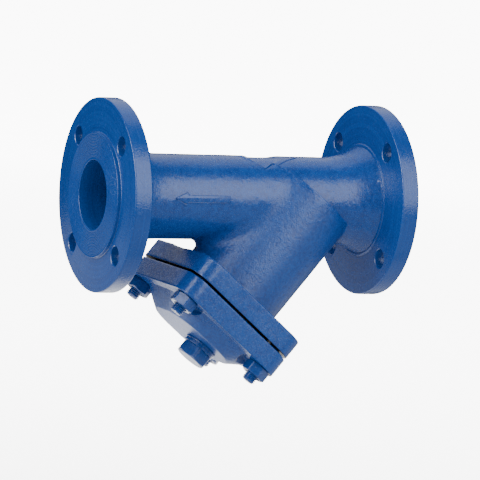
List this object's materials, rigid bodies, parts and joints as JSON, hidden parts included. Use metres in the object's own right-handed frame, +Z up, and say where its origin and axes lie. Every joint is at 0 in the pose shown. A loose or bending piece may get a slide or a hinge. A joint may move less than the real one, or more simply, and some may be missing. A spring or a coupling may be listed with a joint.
{
  "type": "flanged y strainer",
  "caption": "Flanged cast-iron Y strainer: a straight pipe run with a slanted leg closed by a square bolted cover with a hexagonal drain plug, holding a sleeve screen.",
  "frame": {"origin": "centre of the outlet flange's face, on the bore's axis", "axes": "+X along the bore towards the inlet flange, +Z up, away from the leg, +Y to the side without the flow arrow"},
  "size_m": [0.23, 0.14, 0.201],
  "materials": {
    "casting": "semi-gloss blue paint over sand-cast iron",
    "cover_casting": "semi-gloss blue paint over sand-cast iron",
    "fastener": "steel overpainted in the casting's blue",
    "plug": "steel overpainted in the casting's blue",
    "seal": "dull copper sealing ring",
    "gasket": "matt dark joint sheet",
    "screen": "satin stainless sheet"
  },
  "bodies": {
    "valve_body": {"body": "casting", "stud_1": "fastener", "stud_2": "fastener", "stud_3": "fastener", "stud_4": "fastener"},
    "cover_body": {"cover": "cover_casting", "cover_gasket": "gasket"},
    "screen_body": {"screen_shell": "screen", "screen_seat_ring": "screen", "screen_base_ring": "screen"},
    "nut_1_body": {"nut_1": "fastener"},
    "nut_2_body": {"nut_2": "fastener"},
    "nut_3_body": {"nut_3": "fastener"},
    "nut_4_body": {"nut_4": "fastener"},
    "plug_ring_body": {"plug_sealing_ring": "seal"},
    "plug_body": {"drain_plug": "plug"}
  },
  "joints": [
    {"name": "cover_lift", "type": "slide", "parent": "valve_body", "child": "cover_body", "axis": [-0.6361, 0, -0.7716], "range_m": [0, 0.24]},
    {"name": "screen_withdraw", "type": "slide", "parent": "valve_body", "child": "screen_body", "axis": [-0.6361, 0, -0.7716], "range_m": [0, 0.12]},
    {"name": "nut_1_unscrew", "type": "slide", "parent": "cover_body", "child": "nut_1_body", "axis": [-0.6361, 0, -0.7716], "range_m": [0, 0.02]},
    {"name": "nut_2_unscrew", "type": "slide", "parent": "cover_body", "child": "nut_2_body", "axis": [-0.6361, 0, -0.7716], "range_m": [0, 0.02]},
    {"name": "nut_3_unscrew", "type": "slide", "parent": "cover_body", "child": "nut_3_body", "axis": [-0.6361, 0, -0.7716], "range_m": [0, 0.02]},
    {"name": "nut_4_unscrew", "type": "slide", "parent": "cover_body", "child": "nut_4_body", "axis": [-0.6361, 0, -0.7716], "range_m": [0, 0.02]},
    {"name": "plug_travel", "type": "slide", "parent": "cover_body", "child": "plug_ring_body", "axis": [-0.6361, 0, -0.7716], "range_m": [0, 0.0123]},
    {"name": "plug_turn", "type": "hinge", "parent": "plug_ring_body", "child": "plug_body", "pos_m": [0.08794, 0, -0.11502], "axis": [-0.6361, 0, -0.7716], "range_deg": [0, 2400]}
  ],
  "couplings": [
    {"joint": "screen_withdraw", "follows": "cover_lift", "ratio": 0.5},
    {"joint": "plug_travel", "follows": "plug_turn", "m_per_rad": 0.00028875}
  ]
}
